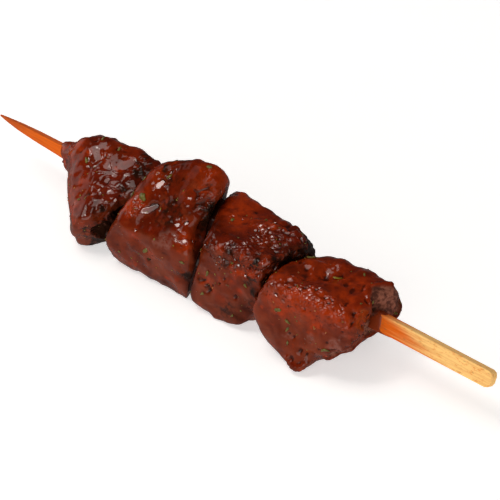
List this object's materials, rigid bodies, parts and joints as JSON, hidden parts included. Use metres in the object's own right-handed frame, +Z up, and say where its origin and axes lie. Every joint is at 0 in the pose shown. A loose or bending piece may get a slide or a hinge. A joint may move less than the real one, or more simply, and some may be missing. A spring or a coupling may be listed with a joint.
{
  "type": "lamb kebab skewer",
  "caption": "Chunks of roast lamb in a dark glossy glaze with herb flakes, threaded side by side on a flat wooden skewer with a point at one end.",
  "frame": {"origin": "middle of the kebab's footprint on the plate", "axes": "+X along the skewer towards its blunt end, +Z up from the plate"},
  "size_m": [0.18, 0.0306, 0.0347],
  "materials": {
    "glazed_lamb": "glossy dark red-brown glaze over roast meat",
    "wood": "bare split wood, stained orange by the glaze near the meat"
  },
  "bodies": {
    "root": {"lamb_chunk_1": "glazed_lamb", "lamb_chunk_2": "glazed_lamb", "lamb_chunk_3": "glazed_lamb", "lamb_chunk_4": "glazed_lamb", "skewer": "wood"}
  },
  "joints": []
}
